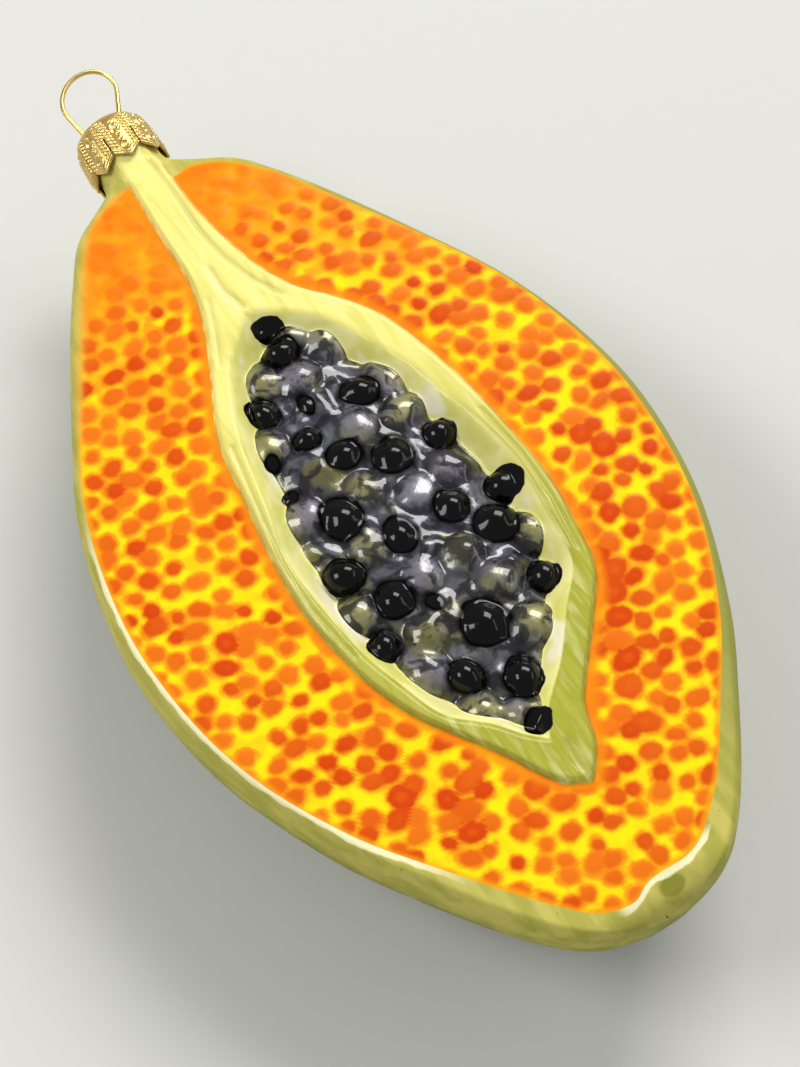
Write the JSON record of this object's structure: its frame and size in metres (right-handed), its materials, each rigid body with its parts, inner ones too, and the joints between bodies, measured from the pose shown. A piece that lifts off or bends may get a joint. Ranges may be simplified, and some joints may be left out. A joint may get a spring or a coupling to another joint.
{
  "type": "papaya half blown-glass hanging ornament",
  "caption": "Hollow blown-glass ornament shaped as a halved papaya with a raised band and seeds, a metal crown cap and a wire hanger ring.",
  "frame": {"origin": "middle of the small flat spot under the round back, on the surface that it rests on", "axes": "+Y towards the cap and the hanger, +Z out of the cut face, +X to the right with the stalk end up"},
  "size_m": [0.0732, 0.1408, 0.0278],
  "materials": {
    "painted_glass": "glossy lacquer over silvered glass, with orange dots on yellow, a pale yellow-green band, black seeds and a satin olive rind",
    "gold_tin": "stamped gold-coloured tin, glossy with beading",
    "gold_wire": "drawn gold-coloured spring wire, glossy"
  },
  "bodies": {
    "root": {"glass_body": "painted_glass", "cap": "gold_tin", "hanger": "gold_wire"}
  },
  "joints": []
}
